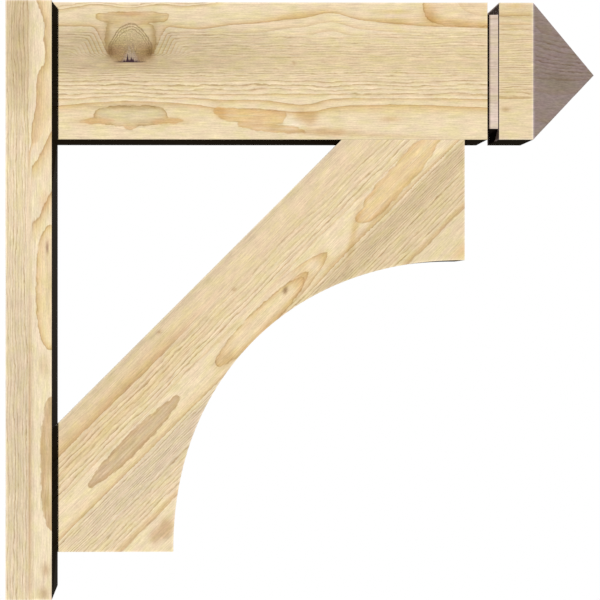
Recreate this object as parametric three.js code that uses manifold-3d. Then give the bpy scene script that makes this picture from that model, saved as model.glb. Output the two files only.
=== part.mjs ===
// Outlooker: a wall bracket of three rough-sawn timbers that helps to carry the overhang of a roof.
// A plate lies against the wall, a beam stands out level from the plate's top, and a curved brace
// holds the beam up. The beam's free end has a groove all round it, a block and a four-sided point.
// Millimetres. X runs out from the wall, Y runs across the width and Z is up.
// The origin is the middle of the plate's wall face.

import * as THREE from "three";
import { mergeVertices } from "three/addons/utils/BufferGeometryUtils.js";
import Module from "manifold-3d";

const wasm = await Module();
wasm.setup();

// The plate
const plateWidth = 190.5;
const plateHeight = 609.6;
const plateThickness = 47;

// The beam, which the brace matches in width
const beamWidth = 139.7;
const beamHeight = 140.5;

// The groove round the beam, the block past it and the slope of the point
const grooveWidth = 11.9;
const grooveDepth = 11.7;
const endBlockLength = 35.1;
const pointPitchDegrees = 45;

// The brace: the length of its straight edge along beam and plate, the depth of its square-cut ends,
// and how full its lower curve is, where 2 is a quarter circle and more is squarer
const straightEdgeLeg = 295.9;
const squareCutDepth = 123.6;
const curveFullness = 2.15;
const curveSteps = 48;

// How far the plate runs on below the brace, and the beam past it to the groove
const plateTail = 47;
const beamNose = 23.3;

// The small flat planed on every long edge, and the hairline left where two timbers meet
const easedEdge = 1.2;
const jointGap = 0.3;

// Places that follow from the sizes
const plateFront = plateThickness;
const beamTop = plateHeight / 2;
const beamUnderside = beamTop - beamHeight;
const beamAxis = beamTop - beamHeight / 2;
const braceLeg = plateHeight - beamHeight - plateTail;
const grooveStart = plateFront + braceLeg + beamNose;
const grooveEnd = grooveStart + grooveWidth;
const pointStart = grooveEnd + endBlockLength;
const pointTip = pointStart + beamHeight / 2 / Math.tan(THREE.MathUtils.degToRad(pointPitchDegrees));

function shapeOf(points) {
  return new THREE.Shape(points.map(([x, y]) => new THREE.Vector2(x, y)));
}

// A solid of the given outline, drawn in X and Y and this thick about Z = 0, with its edges eased.
function slab(outline, thickness) {
  const geometry = new THREE.ExtrudeGeometry(shapeOf(outline), {
    depth: thickness - 2 * easedEdge,
    bevelEnabled: true,
    bevelThickness: easedEdge,
    bevelSize: easedEdge,
    bevelOffset: -easedEdge,
    bevelSegments: 1,
  });
  return geometry.translate(0, 0, easedEdge - thickness / 2);
}

// The same solid with its outline stood up in X and Z.
function uprightSlab(outline, thickness) {
  return slab(outline, thickness).rotateX(Math.PI / 2);
}

// A rectangle from (0, low) to (length, high) with its four corners eased.
function easedRectangle(length, low, high) {
  return [
    [easedEdge, low],
    [length - easedEdge, low],
    [length, low + easedEdge],
    [length, high - easedEdge],
    [length - easedEdge, high],
    [easedEdge, high],
    [0, high - easedEdge],
    [0, low + easedEdge],
  ];
}

// The beam seen from one side: half is its half height or half width there.
function beamOutline(half) {
  const upperEdge = [
    [plateFront + jointGap, half],
    [grooveStart - easedEdge, half],
    [grooveStart, half - easedEdge],
    [grooveStart, half - grooveDepth],
    [grooveEnd, half - grooveDepth],
    [grooveEnd, half - easedEdge],
    [grooveEnd + easedEdge, half],
    [pointStart, half],
  ];
  const lowerEdge = upperEdge.map(([x, y]) => [x, -y]);
  return [...lowerEdge, [pointTip, 0], ...upperEdge.reverse()];
}

// The brace's lower curve, from the foot of its left end to the foot of its right end. Along and down
// are measured from the corner between plate and beam, and the curve bends round the opposite corner.
function braceCurve() {
  const reach = braceLeg - squareCutDepth;
  const points = [];
  for (let step = 0; step <= curveSteps; step += 1) {
    const angle = (step / curveSteps) * (Math.PI / 2);
    const across = Math.max(Math.cos(angle), 0);
    const radius = reach / (across ** curveFullness + Math.sin(angle) ** curveFullness) ** (1 / curveFullness);
    points.push([braceLeg - radius * across, braceLeg - radius * Math.sin(angle)]);
  }
  return points;
}

function braceOutline() {
  const alongAndDown = [
    [jointGap, straightEdgeLeg - jointGap],
    [jointGap, braceLeg],
    ...braceCurve(),
    [braceLeg, jointGap],
    [straightEdgeLeg - jointGap, jointGap],
  ];
  return alongAndDown.map(([along, down]) => [plateFront + along, beamUnderside - down]);
}

function solidFrom(geometry) {
  geometry.deleteAttribute("normal");
  geometry.deleteAttribute("uv");
  const merged = mergeVertices(geometry);
  return new wasm.Manifold(
    new wasm.Mesh({
      numProp: 3,
      vertProperties: merged.attributes.position.array,
      triVerts: new Uint32Array(merged.index.array),
    }),
  );
}

function geometryFrom(solid) {
  const mesh = solid.getMesh();
  const geometry = new THREE.BufferGeometry();
  geometry.setAttribute("position", new THREE.BufferAttribute(mesh.vertProperties, mesh.numProp));
  geometry.setIndex(new THREE.BufferAttribute(mesh.triVerts, 1));
  geometry.computeVertexNormals();
  return geometry;
}

function timber(name, geometry, colour) {
  const material = new THREE.MeshStandardMaterial({ color: colour, roughness: 0.78, metalness: 0 });
  const mesh = new THREE.Mesh(geometry, material);
  mesh.name = name;
  return mesh;
}

function makeBackPlate() {
  const outline = easedRectangle(plateThickness, -plateHeight / 2, plateHeight / 2);
  return timber("back_plate", uprightSlab(outline, plateWidth), 0xe3cea6);
}

// The beam is what its side view and its view from above have in common, so the groove and the
// point come out on all four sides.
function makeBeam() {
  const fromTheSide = solidFrom(uprightSlab(beamOutline(beamHeight / 2), beamWidth));
  const fromAbove = solidFrom(slab(beamOutline(beamWidth / 2), beamHeight));
  const mesh = timber("beam", geometryFrom(fromTheSide.intersect(fromAbove)), 0xe0caa2);
  mesh.position.z = beamAxis;
  return mesh;
}

function makeBrace() {
  return timber("brace", uprightSlab(braceOutline(), beamWidth), 0xe5cfa8);
}

const outlooker = new THREE.Group();
outlooker.name = "outlooker";
outlooker.add(makeBackPlate(), makeBeam(), makeBrace());

export default outlooker;
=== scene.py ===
"""An outlooker of three pine timbers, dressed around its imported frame.

X runs out from the wall, Y across the width and Z up, in metres. Each timber is a closed mesh that
stands for its frame node. Its wood is grown rather than painted: every point gets a count of growth
rings, and the material turns the part of a ring that it has reached into early or late wood. The
grain is described in millimetres along it, across it and in from the near side.
"""

import math
from typing import NamedTuple

import bpy
import numpy as np
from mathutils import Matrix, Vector


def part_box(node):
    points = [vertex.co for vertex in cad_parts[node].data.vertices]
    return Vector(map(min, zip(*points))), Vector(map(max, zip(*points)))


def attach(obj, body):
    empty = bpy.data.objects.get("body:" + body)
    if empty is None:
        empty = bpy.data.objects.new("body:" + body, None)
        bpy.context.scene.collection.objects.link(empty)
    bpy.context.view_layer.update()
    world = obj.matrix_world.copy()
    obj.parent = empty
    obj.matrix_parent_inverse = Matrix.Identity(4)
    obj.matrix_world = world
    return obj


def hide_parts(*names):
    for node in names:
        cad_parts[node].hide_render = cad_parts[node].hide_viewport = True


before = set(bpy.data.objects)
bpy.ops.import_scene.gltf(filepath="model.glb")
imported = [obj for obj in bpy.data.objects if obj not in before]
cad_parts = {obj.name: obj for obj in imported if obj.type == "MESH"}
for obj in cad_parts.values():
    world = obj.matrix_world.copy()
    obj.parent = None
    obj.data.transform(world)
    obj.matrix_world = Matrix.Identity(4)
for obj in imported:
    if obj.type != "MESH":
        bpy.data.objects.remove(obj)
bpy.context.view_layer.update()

MM = 0.001

# The beam's groove and end block, and the brace's outline, as in the frame's solids
GROOVE_WIDTH = 11.9 * MM
GROOVE_DEPTH = 11.7 * MM
END_BLOCK = 35.1 * MM
STRAIGHT_LEG = 295.9 * MM
SQUARE_CUT = 123.6 * MM
CURVE_FULLNESS = 2.15

# The hairline between two timbers, the planed flat on their edges and the mesh's spacing
JOINT_GAP = 0.02 * MM
EASED_EDGE = 0.12 * MM
GRID = 2.2 * MM

# Points closer than this are joined, and edges that turn more than this are eased and stay crisp
WELD_REACH = 0.02 * MM
CORNER_ANGLE = math.radians(25)

# About how long and how deep the brace is, for the count of squares in its mesh
BRACE_LENGTH = 600 * MM
BRACE_DEPTH = 110 * MM

# Tints are given as they look on screen, and the shader takes them raised to this power
SCREEN_GAMMA = 2.2

PLATE_LOW, PLATE_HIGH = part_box("back_plate")
BEAM_LOW, BEAM_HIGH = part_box("beam")
BRACE_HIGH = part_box("brace")[1]
HALF_WIDTH = BEAM_HIGH.y
BEAM_HALF_HEIGHT = (BEAM_HIGH.z - BEAM_LOW.z) / 2
POINT_START = BEAM_HIGH.x - BEAM_HALF_HEIGHT
GROOVE_END = POINT_START - END_BLOCK
GROOVE_START = GROOVE_END - GROOVE_WIDTH


def add_object(name, data):
    added = bpy.data.objects.new(name, data)
    bpy.context.scene.collection.objects.link(added)
    return added


# Timbers as meshes: four-cornered sections joined into one skin, with a grid over both ends

def along_line(start, end):
    """Evenly spaced values from start to end, both included."""
    steps = max(1, round(abs(end - start) / GRID))
    return [start + (end - start) * i / steps for i in range(steps + 1)]


def face_grid(corners, across, up):
    """Points over a four-cornered face, row by row."""
    a, b, c, d = (np.array(corner, float) for corner in corners)
    s = np.linspace(0, 1, across + 1)[None, :, None]
    t = np.linspace(0, 1, up + 1)[:, None, None]
    return (a * (1 - s) + b * s) * (1 - t) + (d * (1 - s) + c * s) * t


def grid_faces(first, across, up, turned):
    """Squares over a grid of points, cut corner to corner where the grid's two diagonals run."""
    faces = []
    for row in range(up):
        for column in range(across):
            a = first + row * (across + 1) + column
            b, c, d = a + 1, a + across + 2, a + across + 1
            if across == up and column == row:
                cut = [(a, b, c), (a, c, d)]
            elif across == up and column == across - 1 - row:
                cut = [(a, b, d), (b, c, d)]
            else:
                cut = [(a, b, c, d)]
            faces.extend(face[::-1] if turned else face for face in cut)
    return faces


def loft_mesh(name, sections, across, up, point_height=None):
    """A closed mesh through the sections. point_height raises its far end, as a share of the half width."""
    points = []
    faces = []
    rings = []
    for corners in sections:
        face = face_grid(corners, across, up)
        ring = [*face[0, :-1], *face[:-1, -1], *face[-1, :0:-1], *face[:0:-1, 0]]
        rings.append(range(len(points), len(points) + len(ring)))
        points.extend(ring)
    for near, far in zip(rings, rings[1:]):
        count = len(near)
        faces.extend((near[i], near[(i + 1) % count], far[(i + 1) % count], far[i]) for i in range(count))
    for corners, turned in ((sections[0], True), (sections[-1], False)):
        face = face_grid(corners, across, up)
        if point_height and not turned:
            middle = face.mean((0, 1))
            span = np.abs(face - middle) / np.abs(face[0, 0] - middle).clip(1e-9)
            face[..., 0] += point_height * (1 - span[..., 1:].max(-1))
        faces.extend(grid_faces(len(points), across, up, turned))
        points.extend(face.reshape(-1, 3))
    mesh = bpy.data.meshes.new(name)
    mesh.from_pydata([tuple(p) for p in points], [], faces)
    return mesh


def plate_mesh():
    sections = [
        [(PLATE_LOW.x, PLATE_LOW.y, z), (PLATE_HIGH.x, PLATE_LOW.y, z),
         (PLATE_HIGH.x, PLATE_HIGH.y, z), (PLATE_LOW.x, PLATE_HIGH.y, z)]
        for z in along_line(PLATE_LOW.z, PLATE_HIGH.z)
    ]
    thickness = PLATE_HIGH.x - PLATE_LOW.x
    width = PLATE_HIGH.y - PLATE_LOW.y
    return loft_mesh("back_plate_timber", sections, round(thickness / GRID), round(width / GRID))


def beam_mesh():
    """Square sections along the beam, drawn in round the groove, and a far end raised to its point."""
    stations = [(x, 0) for x in along_line(PLATE_HIGH.x + JOINT_GAP, GROOVE_START)]
    stations += [(GROOVE_START, inset) for inset in along_line(0, GROOVE_DEPTH)[1:]]
    stations += [(x, GROOVE_DEPTH) for x in along_line(GROOVE_START, GROOVE_END)[1:]]
    stations += [(GROOVE_END, inset) for inset in along_line(GROOVE_DEPTH, 0)[1:]]
    stations += [(x, 0) for x in along_line(GROOVE_END, POINT_START)[1:]]
    sections = []
    for x, inset in stations:
        y = HALF_WIDTH - inset
        low, high = BEAM_LOW.z + inset, BEAM_HIGH.z - inset
        sections.append([(x, -y, low), (x, y, low), (x, y, high), (x, -y, high)])
    sides = 2 * round(HALF_WIDTH / GRID)
    return loft_mesh("beam_timber", sections, sides, sides, point_height=BEAM_HALF_HEIGHT)


def brace_edges(rungs):
    """The brace's upper and lower edges, as matching points along and down from the corner."""
    leg = BRACE_HIGH.x - PLATE_HIGH.x
    reach = leg - SQUARE_CUT
    knees = [(JOINT_GAP, leg), (JOINT_GAP, STRAIGHT_LEG), (STRAIGHT_LEG, JOINT_GAP), (leg, JOINT_GAP)]
    lengths = [math.dist(a, b) for a, b in zip(knees, knees[1:])]
    upper = [knees[0]]
    for a, b, length in zip(knees, knees[1:], lengths):
        count = round(rungs * length / sum(lengths))
        parts = [i / count for i in range(1, count + 1)]
        upper += [(a[0] + (b[0] - a[0]) * part, a[1] + (b[1] - a[1]) * part) for part in parts]
    lower = []
    for i in range(len(upper)):
        angle = math.pi / 2 * i / (len(upper) - 1)
        across, down = max(math.cos(angle), 0), math.sin(angle)
        radius = reach / (across ** CURVE_FULLNESS + down ** CURVE_FULLNESS) ** (1 / CURVE_FULLNESS)
        lower.append((leg - radius * across, leg - radius * down))
    return upper, lower


def brace_mesh():
    upper, lower = brace_edges(rungs=round(BRACE_LENGTH / GRID))
    sections = []
    for (top_x, top_down), (low_x, low_down) in zip(upper, lower):
        top_x, low_x = PLATE_HIGH.x + top_x, PLATE_HIGH.x + low_x
        top_z, low_z = BEAM_LOW.z - top_down, BEAM_LOW.z - low_down
        sections.append([(top_x, -HALF_WIDTH, top_z), (low_x, -HALF_WIDTH, low_z),
                         (low_x, HALF_WIDTH, low_z), (top_x, HALF_WIDTH, top_z)])
    return loft_mesh("brace_timber", sections, round(BRACE_DEPTH / GRID), round(2 * HALF_WIDTH / GRID))


# Grain: smooth shapes that the growth of the timbers is described with, in millimetres

# How far the near side's rings and its marks reach into a timber
RINGS_REACH = 48
MARKS_REACH = 30

# How clearly rings show away from the near side of a plain timber
DEEP_CLEARNESS = 0.65

# Pockets: how far off a rim still counts, the step that its slope is taken over, and how fast a pocket
# narrows as it goes in
FAR_FROM_RIM = 15.0
SLOPE_STEP = 0.5
POCKET_TAPER = 0.4

# The step that rings are counted over, and the rings a millimetre from which they start and end to crowd
CROWDING_STEP = 1.5
CROWDING_FROM = 0.1
CROWDING_TO = 0.26


class Mark(NamedTuple):
    """An oval in the near side's grain: its middle, half its size, its tint and how soft its edge is.

    It may add rings. As a pocket of late wood it has a crisp outline, with a line of this rim strength.
    """

    at: tuple
    half: tuple
    tint: tuple = (1, 1, 1)
    edge: float = 0.4
    rings: float = 0
    rim: float = 1
    fullness: float = 2
    tilt: float = 0
    wave: float = 0


class Growth(NamedTuple):
    """What the material reads at each point: the count of rings, and how clearly they show.

    A pocket is its rim's distance, its rim's strength and its fill.
    """

    rings: np.ndarray
    clearness: np.ndarray
    tint: np.ndarray
    rim_distance: np.ndarray
    rim: np.ndarray
    fill: np.ndarray


def step(value, start, end):
    """0 below start, 1 past end, smooth between."""
    share = np.clip((value - start) / (end - start), 0, 1)
    return share * share * (3 - 2 * share)


def within(value, start, full, still, end):
    """0 outside start and end, 1 from full to still, smooth between."""
    return step(value, start, full) * step(-value, -end, -still)


def hump(value, middle, width):
    return np.exp(-((value - middle) / width) ** 2)


def bent(value, places, heights, blur=4):
    """A line through the given places, with its corners rounded."""
    return sum(np.interp(value + shift, places, heights) for shift in (-blur, 0, blur)) / 3


def oval_reach(along, across, mark):
    """0 in the middle of a mark, 1 on its outline and more outside it."""
    turn = math.radians(mark.tilt)
    x, y = along - mark.at[0], across - mark.at[1]
    u = np.abs(x * math.cos(turn) + y * math.sin(turn)) / mark.half[0]
    v = np.abs(y * math.cos(turn) - x * math.sin(turn)) / mark.half[1]
    reach = (u ** mark.fullness + v ** mark.fullness) ** (1 / mark.fullness)
    return reach + mark.wave * np.sin(along / 4.3) * np.sin(along / 7.9 + across / 5)


def ripple(points, wavelength, seed, waves=8):
    """A smooth random field of about unit height, the same on every run."""
    random = np.random.default_rng(seed)
    directions = random.normal(size=(waves, 3))
    directions /= np.linalg.norm(directions, axis=1)[:, None]
    lengths = wavelength * random.uniform(0.7, 1.5, waves)
    starts = random.uniform(0, 2 * math.pi, waves)
    turns = points @ (directions / lengths[:, None]).T
    return np.sin(turns * 2 * math.pi + starts).sum(1) * (2 / waves) ** 0.5


def tinted(tint, share, colour):
    """The tint, carried towards a colour by a share for each point."""
    return tint * (1 - share[:, None] * (1 - np.array(colour)))


def add_marks(marks, along, across, near, rings, tint):
    for mark in marks:
        reach = oval_reach(along, across, mark)
        inside = near / (1 + np.exp(np.clip((reach - 1) / mark.edge, -40, 40)))
        rings = rings + mark.rings * inside
        tint = tinted(tint, inside, mark.tint)
    return rings, tint


def nearest_pocket(pockets, along, across, depth):
    """The distance in millimetres to the nearest pocket's rim, below 0 inside it, with its rim and fill."""
    distance = np.full(len(along), FAR_FROM_RIM)
    rim = np.zeros(len(along))
    fill = np.ones((len(along), 3))
    for pocket in pockets:
        here = oval_reach(along, across, pocket)
        rise_along = oval_reach(along + SLOPE_STEP, across, pocket) - here
        rise_across = oval_reach(along, across + SLOPE_STEP, pocket) - here
        slope = np.hypot(rise_along, rise_across) / SLOPE_STEP
        offset = (here - 1) / np.maximum(slope, 0.01) + POCKET_TAPER * depth
        nearer = offset < distance
        distance = np.where(nearer, np.maximum(offset, -FAR_FROM_RIM), distance)
        rim = np.where(nearer, pocket.rim, rim)
        fill[nearer] = pocket.tint
    return distance, rim, fill


def heart_rings(across, depth, heart, ring):
    """Rings round a heart that lies this far across and in, each this wide."""
    return np.hypot(across - heart[0], depth - heart[1]) / ring


def near_side(depth):
    """1 on the near side, and less where its marks are left behind."""
    return hump(depth, 0, MARKS_REACH)


def through_timber(face, across, depth, heart, wander, ring=4.0):
    """Carries the near side's rings into the timber, where rings round its heart take over."""
    fade = hump(depth, 0, RINGS_REACH)
    deep = heart_rings(across, depth, heart, ring) + wander
    return deep + (face - heart_rings(across, 0, heart, ring) - wander) * fade


def grow_plain(places, face, marks, pockets, clearness, heart, wander):
    """The growth of a timber that is cut from one face's rings, marks and pockets."""
    near = near_side(places[2])
    face, tint = add_marks(marks, *places[:2], near, face, np.ones((len(near), 3)))
    rings = through_timber(face, *places[1:], heart, wander)
    clearness = DEEP_CLEARNESS + (clearness - DEEP_CLEARNESS) * near
    return Growth(rings, clearness, tint, *nearest_pocket(pockets, *places))


def ring_crowding(grow, places, normals, rings):
    """0 where a ring stands alone, and 1 where rings crowd on both sides, over the surface."""
    level = np.stack([np.zeros(len(normals)), -normals[:, 2], normals[:, 1]], 1)
    length = np.linalg.norm(level, axis=1)
    level[length < 0.3] = (0, 1, 0)
    level /= np.linalg.norm(level, axis=1)[:, None]
    before = np.abs(rings - grow(*(places - CROWDING_STEP * level).T).rings)
    after = np.abs(grow(*(places + CROWDING_STEP * level).T).rings - rings)
    return step(np.minimum(before, after) / CROWDING_STEP, CROWDING_FROM, CROWDING_TO)


# Tints as shares of the clear wood's red, green and blue on screen
TAN = (0.915, 0.88, 0.825)
GREY_TAN = (0.93, 0.925, 0.92)
ORANGE = (0.955, 0.905, 0.82)
BROWN = (0.82, 0.76, 0.69)
DARK = (0.55, 0.45, 0.45)


# The beam, in millimetres out from the plate, down from its top and in from its near side

GROOVE_FROM = (GROOVE_START - PLATE_HIGH.x) / MM
GROOVE_TO = (GROOVE_END - PLATE_HIGH.x) / MM
GROOVE_DEEP = GROOVE_DEPTH / MM
POINT_FROM = (POINT_START - PLATE_HIGH.x) / MM
BEAM_WIDE = 2 * HALF_WIDTH / MM
BEAM_TALL = 2 * BEAM_HALF_HEIGHT / MM

# How much of the depth is held back on the point, so that its lines run on as on a level face, and a
# depth that no pocket reaches
POINT_HOLD = 0.85
PAST_POCKETS = 100

# The knot's middle, the level of its foot, and its outline's half width, rise and fall
KNOT_ALONG = 79.6
KNOT_DOWN = 49.0
KNOT_FOOT = 61.7
KNOT_HALF = 22.3
KNOT_RISE = 27.6
KNOT_FALL = 23.4
KNOT_FULLNESS = 1.65

# The slanted flanks beside the knot: how far out they stand, how they lean and the width of their rings
FLANK_HALF = 26
FLANK_LEAN = 0.45
FLANK_RING = 4.3

# The pale wedge on the knot's foot, and the dark spikes as places along the foot and shares of the tallest
WEDGE_HALF = 9.2
WEDGE_HEIGHT = 15.5
SPIKE_REACH = 20
SPIKE_HEIGHT = 8
SPIKES = (
    (0.3, 0), (0.345, 0.22), (0.375, 0.04), (0.4, 0.2), (0.425, 1), (0.455, 0.2), (0.5, 0.25),
    (0.527, 0.6), (0.55, 0.25), (0.57, 0.42), (0.6, 0.05), (0.66, 0.1), (0.7, 0),
)

BEAM_POCKETS = (
    # The cap over the knot, the darker wood between its two legs, and the long eye with its two arms
    Mark((81.7, 15.8), (35.5, 5.9), (0.96, 0.94, 0.9), rim=1, fullness=3, wave=0.08),
    Mark((79.6, 38), (25.7, 17.5), (0.955, 0.945, 0.91), rim=1.1, fullness=4),
    Mark((80.1, 116.4), (37.5, 10.5), (0.935, 0.94, 0.915), rim=1.5, fullness=2.6),
    Mark((80.9, 121.6), (53, 4.1), (0.945, 0.89, 0.82), rim=0.3, wave=0.1),
    Mark((79.5, 127), (7, 3), (0.945, 0.89, 0.82), rim=0.5),
    # The orange patch under the strong line, and the streaky band that it ends in
    Mark((203, 116.5), (37, 7), (0.965, 0.905, 0.8), rim=0.5, fullness=4, tilt=4, wave=0.12),
    Mark((224, 128.5), (34, 4.2), (0.93, 0.87, 0.785), rim=0.4, fullness=2.4, tilt=5, wave=0.12),
    # The corner figure by the groove
    Mark((430, 1), (50.5, 23.6), (0.985, 0.97, 0.945), rim=1.6, fullness=3.2),
)

BEAM_MARKS = (
    # The cap's two lobes and the pinkish strip between them, its legs, and the knot's low corners
    Mark((58.6, 17), (12.5, 4.6), (0.935, 0.92, 0.865), 0.25),
    Mark((102.7, 17), (14, 4.8), (0.935, 0.92, 0.865), 0.25),
    Mark((79, 12.2), (13, 2.6), (0.93, 0.865, 0.82), 0.3),
    *(Mark((at, 33), (2.6, 12), (0.88, 0.855, 0.78), 0.35) for at in (55.8, 104)),
    *(Mark((at, 53), (8, 9), (0.87, 0.81, 0.76), 0.35) for at in (66.5, 94)),
    Mark((58.9, 50.5), (3, 5.2), (0.76, 0.7, 0.61)),
    Mark((100.2, 51), (3.2, 5.2), (0.76, 0.7, 0.61)),
    Mark((80, 66), (46, 5), (0.94, 0.93, 0.915)),
    *(Mark((at, 43), (10, 12), (0.94, 0.935, 0.925), 0.3) for at in (43, 116)),
    # Olive along the top of the eye, and orange along its lower border, over the wave line and lower down
    Mark((80.5, 106.8), (29, 2), (0.88, 0.875, 0.83), fullness=4),
    *(Mark((at, 121.5), (18, 3.6), ORANGE) for at in (44, 118)),
    Mark((250, 13.5), (26, 3.2), ORANGE, tilt=-8),
    Mark((171, 113), (6, 6), (0.95, 0.9, 0.82), 0.25),
    Mark((261, 116.5), (10, 6.5), (0.91, 0.85, 0.76), 0.25, wave=0.3),
    Mark((280, 132.5), (26, 3.2), (0.91, 0.85, 0.77), 0.3, wave=0.3),
    Mark((25, 108), (60, 3), (0.98, 0.96, 0.93), 0.5),
    Mark((360, 109), (95, 3.5), (0.98, 0.96, 0.89), 0.5),
    # The pale notch in the orange patch, the second line in the corner figure and its brown border
    Mark((244, 125), (10, 6), (1.04, 1.06, 1.12), 0.25, wave=0.2),
    Mark((447, 0), (30, 13.5), rings=-0.75, edge=0.12),
    Mark((386, 13), (6.5, 9.5), (0.93, 0.865, 0.77), 0.35, tilt=-15),
    Mark((412, 20.5), (28, 3), (0.94, 0.885, 0.79), tilt=6),
    # Strokes near the top: a pale lens between two yellowish ones, a tan one under it, and specks
    Mark((350, 9.5), (17, 1.8), (0.93, 0.905, 0.78), 0.35),
    Mark((350, 13.8), (13, 1.9), (1, 0.98, 1.03), 0.3),
    Mark((350, 18.2), (17, 1.8), (0.92, 0.88, 0.76), 0.35),
    Mark((356, 22.4), (13, 1.4), (0.93, 0.87, 0.8)),
    Mark((346, 119.5), (9, 2.2), (0.91, 0.85, 0.79)),
    Mark((335, 136.5), (42, 1.4), TAN, tilt=2, edge=0.5),
    Mark((247, 62.3), (1.6, 1.2), BROWN),
    # Greyer, tighter grain round the knot and along the middle
    Mark((80, 48), (135, 25), (0.912, 0.908, 0.9), 0.2, fullness=3),
    Mark((20, 48), (30, 22), (0.965, 0.96, 0.955), 0.3),
    Mark((340, 58), (190, 12), (0.975, 0.97, 0.95), 0.3),
)

BLOCK_MARKS = (
    # Strokes and the spot on the end block, and the green-brown patch on the point
    Mark((464, 109.5), (3.6, 1.8), BROWN),
    Mark((474, 3.5), (8, 1.6), ORANGE),
    Mark((475, 15.5), (22, 1.3), TAN, 0.5),
    Mark((468, 24), (11, 1.4), TAN, 0.5),
    Mark((474, 100), (22, 8), (0.985, 0.98, 0.95)),
    Mark((523, 79.7), (17, 8), (0.93, 0.945, 0.86), 0.3),
)


def top_line(along):
    """The wavy line near the top, left of the middle."""
    return bent(along, (0, 6, 43, 79, 107, 136, 170, 200), (8, 7.1, 2, 6, 2, 4, 1, -12))


def wave_line(along):
    """The long wave from the knot to the groove that parts plain wood from fine lines."""
    places = (0, 45, 115, 150, 185, 212, 235, 258, 278, 290, 312, 335, 380, 445)
    return bent(along, places, (25, 25, 25, 28.5, 23.2, 22, 18, 16.3, 11.5, 11.3, 18, 20.4, 24.5, 26.5))


def strong_line(along):
    """The strong line low on the beam."""
    places = (0, 58, 100, 151, 168, 209, 249, 268, 283, 304, 363, 448)
    levels = (106.5, 99.7, 99.7, 105.3, 108.4, 108.4, 112, 111.5, 107.4, 105.3, 104.3, 107.4)
    return bent(along, places, levels)


def outside_flank(along, down):
    """How far a point lies outside the knot's slanted flanks, in millimetres."""
    return np.abs(along - KNOT_ALONG) - FLANK_HALF - FLANK_LEAN * (KNOT_DOWN - down)


def beside_knot(along, down, rings):
    """Turns the first level rings down along the knot's flanks, with plain wood between them and the knot."""
    outside = outside_flank(along, down)
    plain = 0.5 + 0.5 * np.exp(np.minimum(outside, 0) / 7)
    flank = np.where(outside > 0, 1 + outside / FLANK_RING, plain)
    flank = flank + 12 * step(down, 54, 60)
    blend = 0.3
    return -blend * np.log(np.exp(-rings / blend) + np.exp(-np.minimum(flank, 30) / blend))


def beam_clearness(along, down):
    """Rings show faintly in the tight upper half, and well beside the knot and low down."""
    level = np.interp(down - wave_line(along), (0, 3, 9), (1.0, 0.7, 0.5))
    low = np.interp(down, (57, 61, 66, 78, 92, 98), (0.0, -0.25, -0.1, 0.3, 0.6, 0.7))
    outside = outside_flank(along, down)
    flank = 1.1 * within(outside, -2, 1, 12, 20) * (1 - step(down, 54, 58))
    return np.clip(level + low + flank, 0.12, 1.5)


def block_face(down):
    """The end block's rings: two lines near its top, close lines through its middle, plain wood below."""
    return np.interp(down, (0, 15, 23.5, 33, 90, 98, 140.5), (0.3, 1.0, 2.0, 4.0, 27.0, 29.0, 29.4))


def block_clearness(down):
    levels = (0, 12, 20, 35, 60, 88, 92, 98, 102)
    return np.interp(down, levels, (0.3, 0.9, 0.8, 0.6, 0.7, 0.85, 1.2, 1.2, 0.35))


def point_face(down):
    """The point's rings, wider apart than the block's."""
    return np.interp(down, (0, 30, 50, 78, 95, 140.5), (0.3, 1.2, 5.2, 11.2, 12.3, 13.6))


def point_clearness(down):
    return np.interp(down, (0, 22, 36, 80, 92, 140.5), (0.2, 0.35, 0.65, 0.65, 0.3, 0.3))


def beam_face(along, down):
    """The near side's rings: level lines between a calm strip at the top and one at the bottom."""
    wave = wave_line(along)
    fine = np.maximum(down, 28.5 + 0.3 * (down - wave))
    calm = np.interp(down - wave, (-26, -9, -4, 0), (0.25, 0.32, 0.55, 1.0))
    lower = down - (strong_line(along) - 104) * step(down, 92, 108)
    lines = np.interp(
        np.where(down < 60, fine, lower),
        (28.5, 60, 66, 80, 97.5, 104, 109, 118, 140.5),
        (1.0, 12.2, 9.3, 4.0, 0.0, -1.0, -1.45, -1.68, -1.72),
    )
    rings = beside_knot(along, down, np.where(down < wave, calm, lines))
    past_crest = down - top_line(along)
    return rings + 0.72 * np.exp(-np.clip(past_crest, -3, 60) / 2.8) * step(-along, -200, -150)


def groove_core_and_painted_shade(along, down, depth):
    """The groove's core, the painted shadow by its start, and the painted shade on its far wall, as shares
    from 0 to 1.
    """
    inset = np.minimum(np.minimum(depth, BEAM_WIDE - depth), np.minimum(down, BEAM_TALL - down))
    deep = step(inset, GROOVE_DEEP - 2.1, GROOVE_DEEP - 0.7)
    core = deep * within(along, GROOVE_FROM - 0.4, GROOVE_FROM - 0.1, GROOVE_TO + 0.1, GROOVE_TO + 0.4)
    # Painted shadow: the core by the groove's start, where the beam's end shades it
    corner = core * (1 - step(along, GROOVE_FROM + 1.0, GROOVE_FROM + 3.8))
    # Painted shade: the far wall inside the groove
    painted_far_wall_shade = hump(along, GROOVE_TO, 0.3) * step(inset, 0.2, 1.2) * (1 - deep)
    return core, corner, painted_far_wall_shade


def pale_border(along, down):
    """The end block's pale border, along the point and along its lower edge."""
    by_point = step(along, POINT_FROM - 2, POINT_FROM - 0.5)
    by_underside = step(down, BEAM_TALL - 2, BEAM_TALL - 0.5)
    return np.maximum(by_point, by_underside) * step(along, GROOVE_TO - 0.4, GROOVE_TO)


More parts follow.
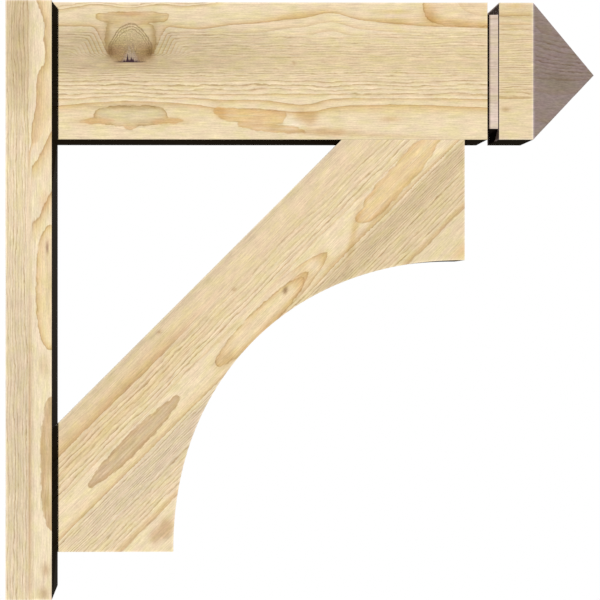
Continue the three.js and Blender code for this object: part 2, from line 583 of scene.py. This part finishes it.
def grow_beam(along, down, depth):
    past_groove = step(along, GROOVE_FROM + 0.3, GROOVE_FROM + 1.9)
    in_point = step(along, POINT_FROM + 0.1, POINT_FROM + 1.1)
    core, corner, painted_far_wall_shade = groove_core_and_painted_shade(along, down, depth)
    down = down - 0.1 * depth * in_point * step(-down, -75, -55)
    shallow = depth * (1 - POINT_HOLD * in_point)
    near = near_side(shallow)
    face, tint = beam_face(along, down), np.ones((len(along), 3))
    face, tint = add_marks(BEAM_MARKS, along, down, near * (1 - past_groove), face, tint)
    face = face + (block_face(down) - face) * past_groove
    face = face + (point_face(down) - face) * in_point
    face, tint = add_marks(BLOCK_MARKS, along, down, near * past_groove, face, tint)
    wander = 1.5 * np.sin(along / 83 + 1) + 0.7 * np.sin(along / 37 + 2)
    rings = through_timber(face, down, shallow, heart=(-70, 78), wander=wander, ring=4.2)
    clearness = beam_clearness(along, down)
    clearness += (block_clearness(down) - clearness) * past_groove
    clearness += (point_clearness(down) - clearness) * in_point
    clearness = (0.6 + (clearness - 0.6) * near) * (1 - 0.7 * core)
    clearness *= step(np.abs(along - POINT_FROM), 0.6, 3.5)
    for share, colour in (
        (pale_border(along, down) * (1 - in_point) * near, (1.03, 1.05, 1.12)),
        (past_groove, (0.975, 0.97, 0.955)),
        (core, (0.965, 0.97, 1.09)),
        # Painted shadow: the core's strip by the groove's start, darkened where the beam's end shades it
        (corner, (0.25, 0.18, 0.15)),
        # Painted shade: the groove's far wall, darkened as the recess would shade it
        (painted_far_wall_shade, (0.58, 0.545, 0.52)),
    ):
        tint = tinted(tint, share, colour)
    pocket = nearest_pocket(BEAM_POCKETS, along, down, depth + PAST_POCKETS * past_groove)
    return Growth(rings, clearness, tint, *pocket)


# The plate, in millimetres down from its top, out from the wall and in from its near side

PLATE_POCKETS = (
    Mark((292, 48), (63, 16.6), (0.99, 0.965, 0.91), rim=1.5, fullness=2.6),
    Mark((470, 49), (68, 13.4), (0.855, 0.8, 0.71), rim=0.6, fullness=2.4, wave=0.04),
)

PLATE_MARKS = (
    Mark((251.5, 42), (5, 0.9), DARK),
    Mark((579, 41), (5, 3), BROWN, 0.5),
    Mark((603, 39), (5, 4), BROWN, 0.5),
    Mark((372, 39), (8, 4), TAN, 0.5),
    Mark((204, 40), (9, 5), (0.96, 0.92, 0.85), 0.3),
    Mark((290, 44), (20, 2.5), GREY_TAN),
    Mark((42, 14), (62, 12), (0.865, 0.84, 0.79), 0.25, fullness=3),
    Mark((430, 14), (150, 12), (0.93, 0.925, 0.925), 0.3, fullness=3),
    Mark((130, 42), (40, 9), (0.985, 0.96, 0.92), 0.3),
    # The red-brown line beside the close ones, over the lower half
    Mark((477, 24.6), (122, 1.3), (0.87, 0.8, 0.73), 0.3, fullness=6),
)


def tongue_line(down):
    """The edge of the pale tongue that hangs from the plate's top."""
    places = (0, 14, 24, 40, 56, 66, 76, 112, 127, 147, 168, 190)
    return bent(down, places, (30, 35, 39, 38, 39, 37, 31, 29.9, 26, 24, 23, 20), blur=3)


def inner_edge(down):
    """How far the close lines reach out from the wall."""
    return 23.3 + 2.2 * step(down, 335, 365)


def plate_face(down, out):
    """Close lines by the wall, and long tongues that open towards the plate's front."""
    edge = inner_edge(down)
    swing = 0.8 * np.sin(down / 47 + 1) + 0.5 * np.sin(down / 21) + 2.2 * hump(down, 40, 30)
    fine = 8.0 * out / edge + 0.3 * swing * np.sin(math.pi * np.clip(out / edge, 0, 1))
    slant = down + 1.7 * (out - 25) + 2 * np.sin(out / 3.1)
    later = np.interp(slant, (145, 160, 172, 192, 215, 232, 262), (0, 1.05, 1.3, 1.8, 2.1, 2.3, 3.0))
    past = out - tongue_line(down)
    hanging = np.interp(past, (-1.5, 0, 5, 14, 22), (0, 0.3, 0.45, 0.75, 0.85))
    drop = np.maximum(later, np.minimum(hanging, 0.85)) * step(out - edge, 0, 3)
    return np.where(out < edge, fine, 8.0 + 0.3 * step(out - edge, 0, 1.5) - drop)


def plate_clearness(down, out):
    """Rings show well on the tongues and less by the wall, where the lower ones fade at their edge."""
    past_edge = out - inner_edge(down)
    level = 0.6 + 0.4 * step(past_edge, -1, 1)
    return level * (1 - 0.85 * hump(past_edge, 1.5, 2) * step(down, 165, 185))


def grow_plate(down, out, depth):
    wander = 1.8 * np.sin(down / 95) + 0.8 * np.sin(down / 41 + 1)
    return grow_plain((down, out, depth), plate_face(down, out), PLATE_MARKS, PLATE_POCKETS,
                      plate_clearness(down, out), heart=(-75, 100), wander=wander)


# The brace, in millimetres up its grain, down from its upper edge and in from its near side

BRACE_POCKETS = (
    # The long brown lens, the second one above the small knot, and the orange one past it
    Mark((77, 68.6), (66, 9.2), (0.865, 0.825, 0.785), rim=0.9, fullness=1.9, wave=0.05),
    Mark((254.5, 72.7), (63, 11.2), (1, 0.99, 0.965), rim=1.3, fullness=2.1),
    Mark((459, 69), (58, 12), (0.975, 0.935, 0.86), rim=0.8, fullness=2.7, tilt=-3.4, wave=0.08),
)

BRACE_MARKS = (
    # Nested lines past the second lens with soft bands inside them, its brown tip and the small knot
    Mark((265, 72), (73, 12), rings=-1.9, edge=0.16),
    Mark((322, 72), (6, 8), (0.955, 0.915, 0.84)),
    Mark((346, 73), (6, 9), (0.965, 0.93, 0.86)),
    Mark((203, 73.5), (11, 5.5), (0.9, 0.85, 0.775), 0.35),
    Mark((262, 80.8), (40, 2.4), (0.93, 0.895, 0.84)),
    Mark((311, 72), (6, 6), ORANGE),
    Mark((250, 71), (13, 1.6), (0.96, 0.95, 0.95), 0.5),
    Mark((295.3, 68.5), (3.2, 1.8), (0.6, 0.52, 0.45), tilt=-30),
    # The slanted orange streak, the lower border of the orange lens and the brown patch near the foot
    Mark((389, 75), (24, 2.8), (0.91, 0.855, 0.765), 0.35, tilt=-32),
    Mark((425, 81), (30, 2), (0.9, 0.86, 0.79), 0.5, tilt=-4, wave=0.2),
    Mark((36, 153), (15, 7.5), (0.88, 0.82, 0.765), 0.18, wave=0.3),
    # The orange patch at the lower right corner, and flecks
    Mark((452, 168), (10, 5), ORANGE),
    Mark((174, 7.2), (1.8, 1.4), BROWN),
    Mark((259, 30.7), (1.8, 1.4), BROWN),
    # The greyish strip along the upper edge and the darker, tight-grained stretches
    Mark((290, 0), (320, 7.5), GREY_TAN, 0.15, fullness=6),
    Mark((290, 17), (320, 13), (0.975, 0.96, 0.95), 0.2, fullness=5),
    Mark((70, 25), (110, 20), (0.98, 0.97, 0.95), 0.3),
    Mark((90, 100), (110, 14), (0.955, 0.96, 0.99), 0.2, fullness=4),
    Mark((455, 125), (175, 37), (0.965, 0.96, 0.945), 0.08, fullness=4),
    Mark((430, 97), (170, 9), (0.95, 0.945, 0.94), 0.2, fullness=4),
    Mark((85, 40), (120, 4), (0.99, 0.975, 0.93)),
    Mark((80, 80), (105, 3.5), (0.99, 0.975, 0.92)),
)


def brace_face(along, across):
    """Even lines in the upper half, a calm band, then very close lines that widen to the corner."""
    swing = 0.7 * np.sin(along / 52 + 0.6) + 0.3 * np.sin(along / 23) + 2 * step(along, 150, 230)
    place = across + swing * step(across, 5, 30) * (1 - step(across, 56, 75))
    upper = np.interp(
        place,
        (0, 9, 26.6, 31, 35.3, 39.9, 44, 48.4, 52.7, 57.3, 61),
        (0.2, 0.35, 1, 2, 3, 4, 5, 6, 7, 8, 8.3),
    )
    calm = np.interp(place, (61, 78, 83, 86.5, 89, 92), (0, 0.2, 0.45, 0.7, 1.3, 2.5))
    close = np.interp(place, (92, 108, 134, 142, 180), (0, 8, 15, 15.3, 15.6))
    return upper + calm + close


def brace_clearness(along, across):
    """Which rings show: the first ones near the foot, and those past the second lens as nested hooks."""
    upper = np.interp(across, (22, 27, 36, 39, 42, 52, 58, 62), (1.0, 0.9, 0.9, 0.45, 0.9, 0.85, 0.4, 0.0))
    faded = (0.4 + 0.45 * (1 - step(across, 27.5, 31))) * (1 - step(across, 36, 42))
    upper = upper * (1 - faded * step(along, 150, 230)) * (1 - 0.25 * step(along, 200, 280))
    hooks = within(along, 302, 322, 352, 375) * within(across, 58, 62, 82, 86)
    lower = np.interp(across, (80, 84, 87, 92, 110, 136, 145), (0, 0.9, 0.9, 0.65, 0.75, 0.8, 0.8))
    return np.clip(upper + lower + 0.8 * hooks, 0, 1)


def grow_brace(along, across, depth):
    wander = 1.5 * np.sin(along / 88 + 2) + 0.8 * np.sin(along / 35)
    return grow_plain((along, across, depth), brace_face(along, across), BRACE_MARKS, BRACE_POCKETS,
                      brace_clearness(along, across), heart=(-90, 64), wander=wander)


# Where the grain runs in each timber: an origin, and unit vectors along, across and in

class Grain(NamedTuple):
    origin: tuple
    along: tuple
    across: tuple


HALF_TURN = math.sqrt(0.5)
BRACE_CORNER = (PLATE_HIGH.x, -HALF_WIDTH, BEAM_LOW.z - STRAIGHT_LEG)
BRACE_RUN_IN = 27 * MM

BEAM_GRAIN = Grain((PLATE_HIGH.x, -HALF_WIDTH, BEAM_HIGH.z), (1, 0, 0), (0, 0, -1))
PLATE_GRAIN = Grain((PLATE_LOW.x, PLATE_LOW.y, PLATE_HIGH.z), (0, 0, -1), (1, 0, 0))
BRACE_GRAIN = Grain(
    tuple(np.array(BRACE_CORNER) - BRACE_RUN_IN * np.array((HALF_TURN, 0, HALF_TURN))),
    (HALF_TURN, 0, HALF_TURN),
    (HALF_TURN, 0, -HALF_TURN),
)


def grain_places(points, grain):
    """Each point's place in the grain: along it, across it and in from the near side, in millimetres."""
    return in_grain(points - np.array(grain.origin), grain) / MM


def in_grain(vectors, grain):
    """Vectors turned to the grain: along it, across it and in from the near side."""
    return np.stack([vectors @ np.array(grain.along), vectors @ np.array(grain.across), vectors[:, 1]], 1)


# Surfaces: relief that is cut into the mesh, and what the material reads from it

# Faces turned to the grain are darker and pinker: partly the end grain's own tone, partly painted shade that
# deepens the point's faces
END_GRAIN_AND_SHADE_TINT = (0.845, 0.826, 0.966)
# Painted highlight: eased edges are lightened as if they caught the light
ARRIS_HIGHLIGHT_TINT = (1.1, 1.12, 1.18)

# The relief in millimetres: the highest places' depth, the saw's strokes and their pitch, the broad hollows,
# and how far early wood lies under late wood
RELIEF_START = 0.03
SAW_STROKES = 0.05
SAW_PITCH = 6.3
HOLLOWS = 0.14
EARLY_WOOD = 0.06


def smooth_places(points):
    """1 at points in the planes where the timbers meet and inside the beam's groove, and 0 elsewhere."""
    x = points[:, 0]
    gap = np.minimum(np.abs(x - PLATE_HIGH.x), np.abs(points[:, 2] - BEAM_LOW.z))
    edge = 0.3 * MM
    in_groove = within(x, GROOVE_START - edge, GROOVE_START, GROOVE_END, GROOVE_END + edge)
    return np.maximum(1 - step(gap, 0.2 * MM, 0.8 * MM), in_groove)


def mesh_array(collection, field, width, kind=np.float32):
    values = np.empty(len(collection) * width, kind)
    collection.foreach_get(field, values)
    return values.reshape(-1, width) if width > 1 else values


def arris_share(mesh):
    """1 at points on an eased edge, where the faces round a point look different ways, and 0 on the flat."""
    corners = mesh_array(mesh.loops, "vertex_index", 1, np.int32)
    sizes = mesh_array(mesh.polygons, "loop_total", 1, np.int32)
    normals = np.repeat(mesh_array(mesh.polygons, "normal", 3), sizes, axis=0)
    total = np.zeros((len(mesh.vertices), 3))
    np.add.at(total, corners, normals)
    mean = total / np.bincount(corners)[:, None]
    full_turn = 0.03
    return np.clip((1 - np.linalg.norm(mean, axis=1)) / full_turn, 0, 1)


def late_wood(rings):
    """1 in the dark late part of each ring, and 0 in the early part."""
    part = rings - np.floor(rings)
    return within(part, 0.45, 0.93, 0.96, 1)


def relief_depth(places, rings, seed):
    """How deep the surface lies under the timber's full size, in millimetres."""
    along = places[:, 0]
    slanted = along + 0.12 * places[:, 1] + 1.5 * ripple(places, 45, seed)
    strokes = 0.5 + 0.5 * np.sin(2 * math.pi * slanted / SAW_PITCH)
    strokes *= step(ripple(places, 70, seed + 1), -0.6, 1.0)
    hollows = step(ripple(places, 120, seed + 2), -0.5, 2)
    sunk = 1 - late_wood(rings)
    return RELIEF_START + SAW_STROKES * strokes + HOLLOWS * hollows + EARLY_WOOD * sunk


def fibre_places(places, facing):
    """Where the fibres are read: as the places, but lines run on unbroken over the point's slanted sides."""
    sideways = np.abs(facing[:, 2])
    held = places.copy()
    held[:, 2] *= 1 - POINT_HOLD * within(sideways, 0.5, 0.65, 0.75, 0.85)
    return held


def write_attribute(mesh, name, values):
    """Stores a number or a vector for each point, for the material to read."""
    kind, field = ("FLOAT", "value") if values.ndim == 1 else ("FLOAT_VECTOR", "vector")
    data = mesh.attributes.new(name, kind, "POINT").data
    data.foreach_set(field, np.ascontiguousarray(values, np.float32).ravel())


def eased_timber(mesh):
    """The timber's object, with its skin joined up and its edges eased."""
    timber = add_object(mesh.name, mesh)
    weld = timber.modifiers.new("weld", "WELD")
    weld.merge_threshold = WELD_REACH
    ease = timber.modifiers.new("eased edges", "BEVEL")
    ease.width = EASED_EDGE
    ease.segments = 2
    ease.limit_method = "ANGLE"
    ease.angle_limit = CORNER_ANGLE
    shaped = bpy.data.meshes.new_from_object(timber.evaluated_get(bpy.context.evaluated_depsgraph_get()))
    timber.modifiers.clear()
    timber.data = shaped
    return timber


def finished_timber(mesh, node, grain, grow, material, seed):
    """The timber's object: its edges eased, its wood grown and its relief cut."""
    timber = eased_timber(mesh)
    shaped = timber.data
    points = mesh_array(shaped.vertices, "co", 3).astype(float)
    normals = mesh_array(shaped.vertices, "normal", 3).astype(float)
    places = grain_places(points, grain)
    facing = in_grain(normals, grain)
    growth = grow(*places.T)
    smooth = smooth_places(points)
    # Faces turned to the grain: partly end grain's tone, partly painted shade
    tint = tinted(growth.tint, step(np.abs(facing[:, 0]), 0.3, 0.68), END_GRAIN_AND_SHADE_TINT)
    # Painted highlight on the eased edges, left off where the timbers meet and inside the groove
    tint = tinted(tint, arris_share(shaped) * (1 - smooth), ARRIS_HIGHLIGHT_TINT)
    for name, values in (
        ("grain", fibre_places(places, facing)),
        ("rings", growth.rings),
        ("crowding", ring_crowding(grow, places, facing, growth.rings)),
        ("clearness", growth.clearness),
        ("smooth", smooth),
        ("tint", tint ** SCREEN_GAMMA),
        ("rim_distance", growth.rim_distance),
        ("rim", growth.rim),
        ("fill", growth.fill ** SCREEN_GAMMA),
    ):
        write_attribute(shaped, name, values)
    relief = relief_depth(places, growth.rings, seed) * (1 - 0.9 * smooth)
    points -= normals * relief[:, None] * MM
    shaped.vertices.foreach_set("co", points.astype(np.float32).ravel())
    shaped.update()
    shaped.shade_smooth()
    shaped.set_sharp_from_angle(angle=CORNER_ANGLE)
    shaped.materials.clear()
    shaped.materials.append(material)
    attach(timber, "root")
    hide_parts(node)


# Wood

def linear(red, green, blue):
    """A colour given in screen values from 0 to 255, as the shader wants it."""
    levels = (value / 255 for value in (red, green, blue))
    return (*(v / 12.92 if v <= 0.04045 else ((v + 0.055) / 1.055) ** 2.4 for v in levels), 1)


def shares(*values):
    """A tint given in screen values, as the shader wants it."""
    return (*(value ** SCREEN_GAMMA for value in values), 1)


class Shading:
    """A material's nodes. Inputs are values or the outputs of nodes made before."""

    def __init__(self, name):
        self.material = bpy.data.materials.new(name)
        self.material.use_nodes = True
        self.tree = self.material.node_tree
        self.shader = self.tree.nodes["Principled BSDF"]

    def node(self, kind, inputs=None, **settings):
        made = self.tree.nodes.new("ShaderNode" + kind)
        for name, value in settings.items():
            setattr(made, name, value)
        for name, value in (inputs or {}).items():
            self.feed(made.inputs[name], value)
        return made

    def feed(self, socket, value):
        if isinstance(value, bpy.types.NodeSocket):
            self.tree.links.new(value, socket)
        else:
            socket.default_value = value

    def attribute(self, name, output="Fac"):
        return self.node("Attribute", attribute_name=name).outputs[output]

    def maths(self, operation, first, second=0.0):
        return self.node("Math", {0: first, 1: second}, operation=operation).outputs[0]

    def plus(self, first, second):
        return self.maths("ADD", first, second)

    def minus(self, first, second):
        return self.maths("SUBTRACT", first, second)

    def product(self, first, second):
        return self.maths("MULTIPLY", first, second)

    def noise(self, scales, detail=2.0):
        """Noise over the grain, with one scale a millimetre for each of along, across and in."""
        grain = self.attribute("grain", "Vector")
        place = self.node("VectorMath", {0: grain, 1: scales}, operation="MULTIPLY")
        settings = {"Vector": place.outputs[0], "Scale": 1.0, "Detail": detail, "Roughness": 0.55}
        return self.node("TexNoise", settings).outputs["Fac"]

    def between(self, value, low, high, start=0.3, end=0.7):
        """The value, carried from start..end to low..high."""
        inputs = {"Value": value, "From Min": start, "From Max": end, "To Min": low, "To Max": high}
        return self.node("MapRange", inputs).outputs[0]

    def share(self, value, start, end):
        """0 at the start and 1 at the end."""
        return self.between(value, 0.0, 1.0, start, end)

    def swing(self, scales, low, high, detail=2.0):
        """Noise over the grain, carried to low..high."""
        return self.between(self.noise(scales, detail), low, high)

    def ramp(self, value, stops):
        made = self.node("ValToRGB", {"Fac": value})
        elements = made.color_ramp.elements
        for _ in stops[2:]:
            elements.new(0.5)
        for element, stop in zip(elements, stops):
            element.position, element.color = stop
        return made.outputs["Color"]

    def tints(self, value, stops):
        """A ramp whose stops are tints in screen values."""
        return self.ramp(value, [(at, shares(*tint)) for at, tint in stops])

    def mix(self, share, first, second, blend="MIX"):
        inputs = {0: share, 6: first, 7: second}
        return self.node("Mix", inputs, data_type="RGBA", blend_type=blend).outputs[2]

    def times(self, first, second):
        """One colour multiplied by another."""
        return self.mix(1.0, first, second, "MULTIPLY")

    def grey(self, value):
        return self.node("CombineColor", {"Red": value, "Green": value, "Blue": value}).outputs[0]


# The knot's wood from its middle to its outline, and the wedge on its foot from its middle outward
KNOT_ARCS = (
    (0, (206, 184, 142)), (0.5, (213, 191, 147)), (0.745, (219, 198, 155)), (0.78, (182, 157, 115)),
    (0.81, (226, 206, 164)), (0.855, (214, 191, 148)), (0.885, (170, 145, 104)), (0.915, (229, 209, 168)),
    (0.955, (212, 188, 145)), (0.985, (164, 139, 99)), (1, (176, 151, 112)),
)
KNOT_BASE = (200, 174, 131)
KNOT_DARK = (74, 48, 58)
WEDGE_TINTS = ((0, (0.97, 1, 1.16)), (0.36, (0.98, 1, 1.13)), (0.5, (0.91, 0.89, 0.92)), (0.66, (1, 1, 1)))

# A ring from its early wood to its late wood, where it stands alone and where rings crowd
LONE_RING = (
    (0, (1, 1, 1)),
    (0.45, (0.99, 0.985, 0.965)),
    (0.75, (0.96, 0.925, 0.855)),
    (0.9, (0.905, 0.845, 0.745)),
    (0.96, (0.82, 0.74, 0.64)),
    (1, (1, 1, 1)),
)
CROWDED_RING = (
    (0, (1.01, 1.01, 1.01)),
    (0.4, (1, 0.99, 0.975)),
    (0.66, (0.94, 0.91, 0.86)),
    (0.82, (0.77, 0.715, 0.63)),
    (0.93, (0.88, 0.84, 0.79)),
    (1, (1.01, 1.01, 1.01)),
)

# A pocket's rim from well inside it outward, and the drift of the wood's hue
RIM_TINTS = (
    (0, (1, 1, 1)),
    (0.5, (0.985, 0.965, 0.93)),
    (0.78, (0.94, 0.895, 0.82)),
    (0.87, (0.82, 0.76, 0.665)),
    (0.93, (0.9, 0.86, 0.8)),
    (0.98, (1, 1, 1)),
)
HUE_TINTS = ((0.36, (1.005, 0.988, 1.005)), (0.5, (1, 1, 1)), (0.64, (0.988, 0.998, 0.95)))


def knot_reach(s, aside, down):
    """0 in the knot's middle and 1 on its outline."""
    below = s.minus(down, KNOT_DOWN)
    rise = s.maths("DIVIDE", s.maths("MINIMUM", below, 0.0), -KNOT_RISE)
    fall = s.maths("DIVIDE", s.maths("MAXIMUM", below, 0.0), KNOT_FALL)
    sideways = s.maths("POWER", s.maths("DIVIDE", aside, KNOT_HALF), KNOT_FULLNESS)
    upright = s.maths("POWER", s.plus(rise, fall), KNOT_FULLNESS)
    reach = s.maths("POWER", s.plus(sideways, upright), 1 / KNOT_FULLNESS)
    return s.plus(reach, s.swing((0.15, 0.15, 0.15), -0.03, 0.03))


def add_knot(s, wood):
    """The knot over the beam's wood: arcs inside its outline, speckle, a pale wedge and a dark flat foot."""
    along, down, depth = s.node("SeparateXYZ", {"Vector": s.attribute("grain", "Vector")}).outputs
    aside = s.maths("ABSOLUTE", s.minus(along, KNOT_ALONG))
    height = s.minus(KNOT_FOOT, down)
    reach = knot_reach(s, aside, down)
    arcs = s.ramp(reach, [(at, linear(*colour)) for at, colour in KNOT_ARCS])
    arcs = s.mix(s.between(down, 0.0, 0.8, 34, 48), arcs, linear(*KNOT_BASE))
    dome = s.times(arcs, s.grey(s.swing((0.75, 0.75, 0.75), 0.72, 1.25, 3.0)))

    spread = s.maths("POWER", s.maths("DIVIDE", aside, WEDGE_HALF), 2.0)
    wedge = s.plus(spread, s.maths("DIVIDE", height, WEDGE_HEIGHT))
    wedge = s.plus(wedge, s.swing((0.5, 0.12, 0.3), -0.3, 0.3))
    dome = s.times(dome, s.tints(s.share(wedge, 0.0, 2.0), WEDGE_TINTS))

    inside = s.product(s.share(reach, 1.035, 0.985), s.share(depth, 30, 20))
    inside = s.product(inside, s.share(height, -0.3, 0.3))
    low_sides = s.product(s.share(height, 9, 2), s.share(aside, 12, 19))
    inside = s.product(inside, s.minus(1.0, low_sides))

    sweep = s.share(along, KNOT_ALONG - SPIKE_REACH, KNOT_ALONG + SPIKE_REACH)
    spikes = s.ramp(sweep, [(at, (tall, tall, tall, 1)) for at, tall in SPIKES])
    over_foot = s.minus(height, s.plus(s.product(spikes, SPIKE_HEIGHT), 1.2))
    foot = s.product(s.share(over_foot, 1.0, -1.4), s.between(aside, 1.0, 0.45, 8, 18))
    return s.mix(inside, wood, s.mix(foot, dome, linear(*KNOT_DARK)))


def grown_wood(s, inside):
    """The rings as tints. Crowded ones differ in strength, and all are fainter inside a pocket."""
    crowding = s.attribute("crowding")
    wander = s.product(s.swing((0.02, 0.08, 0.08), -0.45, 0.45, 3.0),
                       s.between(crowding, 0.1, 1.0, 0.0, 1.0))
    jitter = s.product(s.swing((0.12, 0.45, 0.45), -0.13, 0.13),
                       s.between(crowding, 0.2, 1.0, 0.0, 1.0))
    rings = s.plus(s.attribute("rings"), s.plus(wander, jitter))
    part = s.maths("FRACT", rings)
    wood = s.mix(crowding, s.tints(part, LONE_RING), s.tints(part, CROWDED_RING))
    ring_number = s.maths("FLOOR", rings)
    each_ring = s.node("TexWhiteNoise", {"W": ring_number}, noise_dimensions="1D").outputs["Value"]
    patchy = s.product(s.between(each_ring, 0.45, 1.4, 0.0, 1.0),
                       s.swing((0.06, 0.35, 0.35), 0.0, 1.7, 3.0))
    shown = s.plus(s.product(crowding, patchy), s.minus(1.0, crowding))
    shown = s.product(shown, s.attribute("clearness"))
    shown = s.product(shown, s.between(inside, 1.0, 0.3, 0.0, 1.0))
    plain = s.mix(crowding, shares(1.0, 0.995, 0.985), shares(0.965, 0.95, 0.92))
    return s.mix(shown, plain, wood)


def add_pockets(s, wood, distance, inside):
    """The pockets' streaky fill and the line along their rim."""
    streaks = s.swing((0.025, 0.35, 0.35), 0.5, 1.3, 3.0)
    filled = s.mix(streaks, wood, s.times(wood, s.attribute("fill", "Vector")))
    wood = s.mix(inside, wood, filled)
    rim_colour = s.tints(s.share(distance, -8.0, 1.0), RIM_TINTS)
    rim = s.product(s.attribute("rim"), s.swing((0.05, 0.12, 0.12), 0.25, 1.0))
    return s.mix(rim, wood, s.times(wood, rim_colour))


def add_surface(s, wood):
    """Fibres, specks, blotches and a drift of hue, with the gloss and the bump that go with the fibres."""
    fibre = s.swing((0.05, 1.1, 1.1), 0.845, 1.145, 3.0)
    speckle = s.swing((0.4, 0.9, 0.9), 0.93, 1.07, 2.0)
    mottle = s.swing((0.07, 0.2, 0.2), 0.935, 1.06, 3.0)
    for grey in (fibre, speckle, mottle):
        wood = s.times(wood, s.grey(grey))
    s.feed(s.shader.inputs["Roughness"], s.between(fibre, 0.74, 0.86, 0.94, 1.06))
    s.shader.inputs["Specular IOR Level"].default_value = 0.2
    height = s.plus(fibre, s.product(speckle, 0.5))
    strength = s.between(s.attribute("smooth"), 0.2, 0.02, 0.0, 1.0)
    bump = s.node("Bump", {"Height": height, "Strength": strength, "Distance": 0.6 * MM})
    s.feed(s.shader.inputs["Normal"], bump.outputs[0])
    return s.times(wood, s.tints(s.noise((0.05, 0.11, 0.11), 3.0), HUE_TINTS))


def make_wood(name, clear, knotty=False):
    """Pine whose rings, tint and pockets are read from the mesh; clear is the colour of its early wood."""
    s = Shading(name)
    uneven = s.swing((0.13, 0.22, 0.22), -0.9, 0.9)
    distance = s.plus(s.attribute("rim_distance"), uneven)
    inside = s.share(distance, 0.6, -0.6)
    wood = add_pockets(s, grown_wood(s, inside), distance, inside)
    wood = s.times(wood, linear(*clear))
    if knotty:
        wood = add_knot(s, wood)
    wood = add_surface(s, wood)
    s.feed(s.shader.inputs["Base Color"], s.times(wood, s.attribute("tint", "Vector")))
    return s.material


# Studio

CAMERA_PLACE = (0.1712, -3.7655, 0)
SENSOR_WIDTH = 36
LENS = 216.66

# How far the picture's middle lies off the camera's axis as a share of its width, and the part of that
# which is a shift of the lens. The rest is a turn.
PICTURE_OFFSET = 0.21
LENS_SHIFT = 0.12

# The share of the key light that falls square on the near side, a sun's width and the light all round
KEY_SHARE = 0.938
SUN_ANGLE = math.radians(3)
AMBIENT = 0.018

FLOOR_MIDDLE = (0.3, 0, -0.9)
FLOOR_RADIUS = 2.4


def make_camera():
    """Level with the middle of the plate, and far off with a long lens."""
    camera = add_object("camera", bpy.data.cameras.new("camera"))
    view = camera.data
    view.sensor_width = SENSOR_WIDTH
    view.lens = LENS
    view.shift_x = LENS_SHIFT
    view.clip_end = 50
    turn = math.atan((PICTURE_OFFSET - view.shift_x) * view.sensor_width / view.lens)
    camera.location = CAMERA_PLACE
    camera.rotation_euler = (math.radians(90), 0, -turn)
    bpy.context.scene.camera = camera


def make_sun(name, direction, strength):
    light = bpy.data.lights.new(name, "SUN")
    light.angle = SUN_ANGLE
    light.energy = strength
    light.cycles.max_bounces = 0
    lamp = add_object(name, light)
    lamp.rotation_mode = "QUATERNION"
    lamp.rotation_quaternion = Vector(direction).to_track_quat("-Z", "Y")


def make_world():
    """White behind the object, and almost no light from it, so that shaded sides stay dark."""
    world = bpy.data.worlds.new("white studio")
    world.use_nodes = True
    bpy.context.scene.world = world
    nodes, links = world.node_tree.nodes, world.node_tree.links
    background = nodes["Background"]
    background.inputs["Color"].default_value = (1, 1, 1, 1)
    seen = nodes.new("ShaderNodeLightPath")
    strength = nodes.new("ShaderNodeMapRange")
    strength.inputs["To Min"].default_value = AMBIENT
    strength.inputs["To Max"].default_value = 1.0
    links.new(seen.outputs["Is Camera Ray"], strength.inputs["Value"])
    links.new(strength.outputs[0], background.inputs["Strength"])


def make_floor():
    """A pale disc well below the bracket, which hangs on its wall."""
    bpy.ops.mesh.primitive_circle_add(
        vertices=96, radius=FLOOR_RADIUS, fill_type="NGON", location=FLOOR_MIDDLE
    )
    floor = bpy.context.object
    floor.name = "floor"
    s = Shading("pale floor")
    s.shader.inputs["Base Color"].default_value = (0.9, 0.9, 0.89, 1)
    s.shader.inputs["Roughness"].default_value = 0.9
    floor.data.materials.append(s.material)
    floor.visible_diffuse = False
    floor.visible_glossy = False


def main():
    finished_timber(plate_mesh(), "back_plate", PLATE_GRAIN, grow_plate,
                    make_wood("plate pine", (243, 226, 195)), seed=11)
    finished_timber(beam_mesh(), "beam", BEAM_GRAIN, grow_beam,
                    make_wood("beam pine", (238, 219, 184), knotty=True), seed=23)
    finished_timber(brace_mesh(), "brace", BRACE_GRAIN, grow_brace,
                    make_wood("brace pine", (239, 220, 185)), seed=37)
    make_sun("key", (0.24, 1, -0.28), math.pi / KEY_SHARE)
    make_sun("fill behind", (0, -1, -0.35), 2.2)
    make_sun("fill from the wall side", (1, -0.8, -0.1), 1.6)
    make_world()
    make_floor()
    make_camera()
    bpy.context.scene.view_settings.view_transform = "Standard"


main()
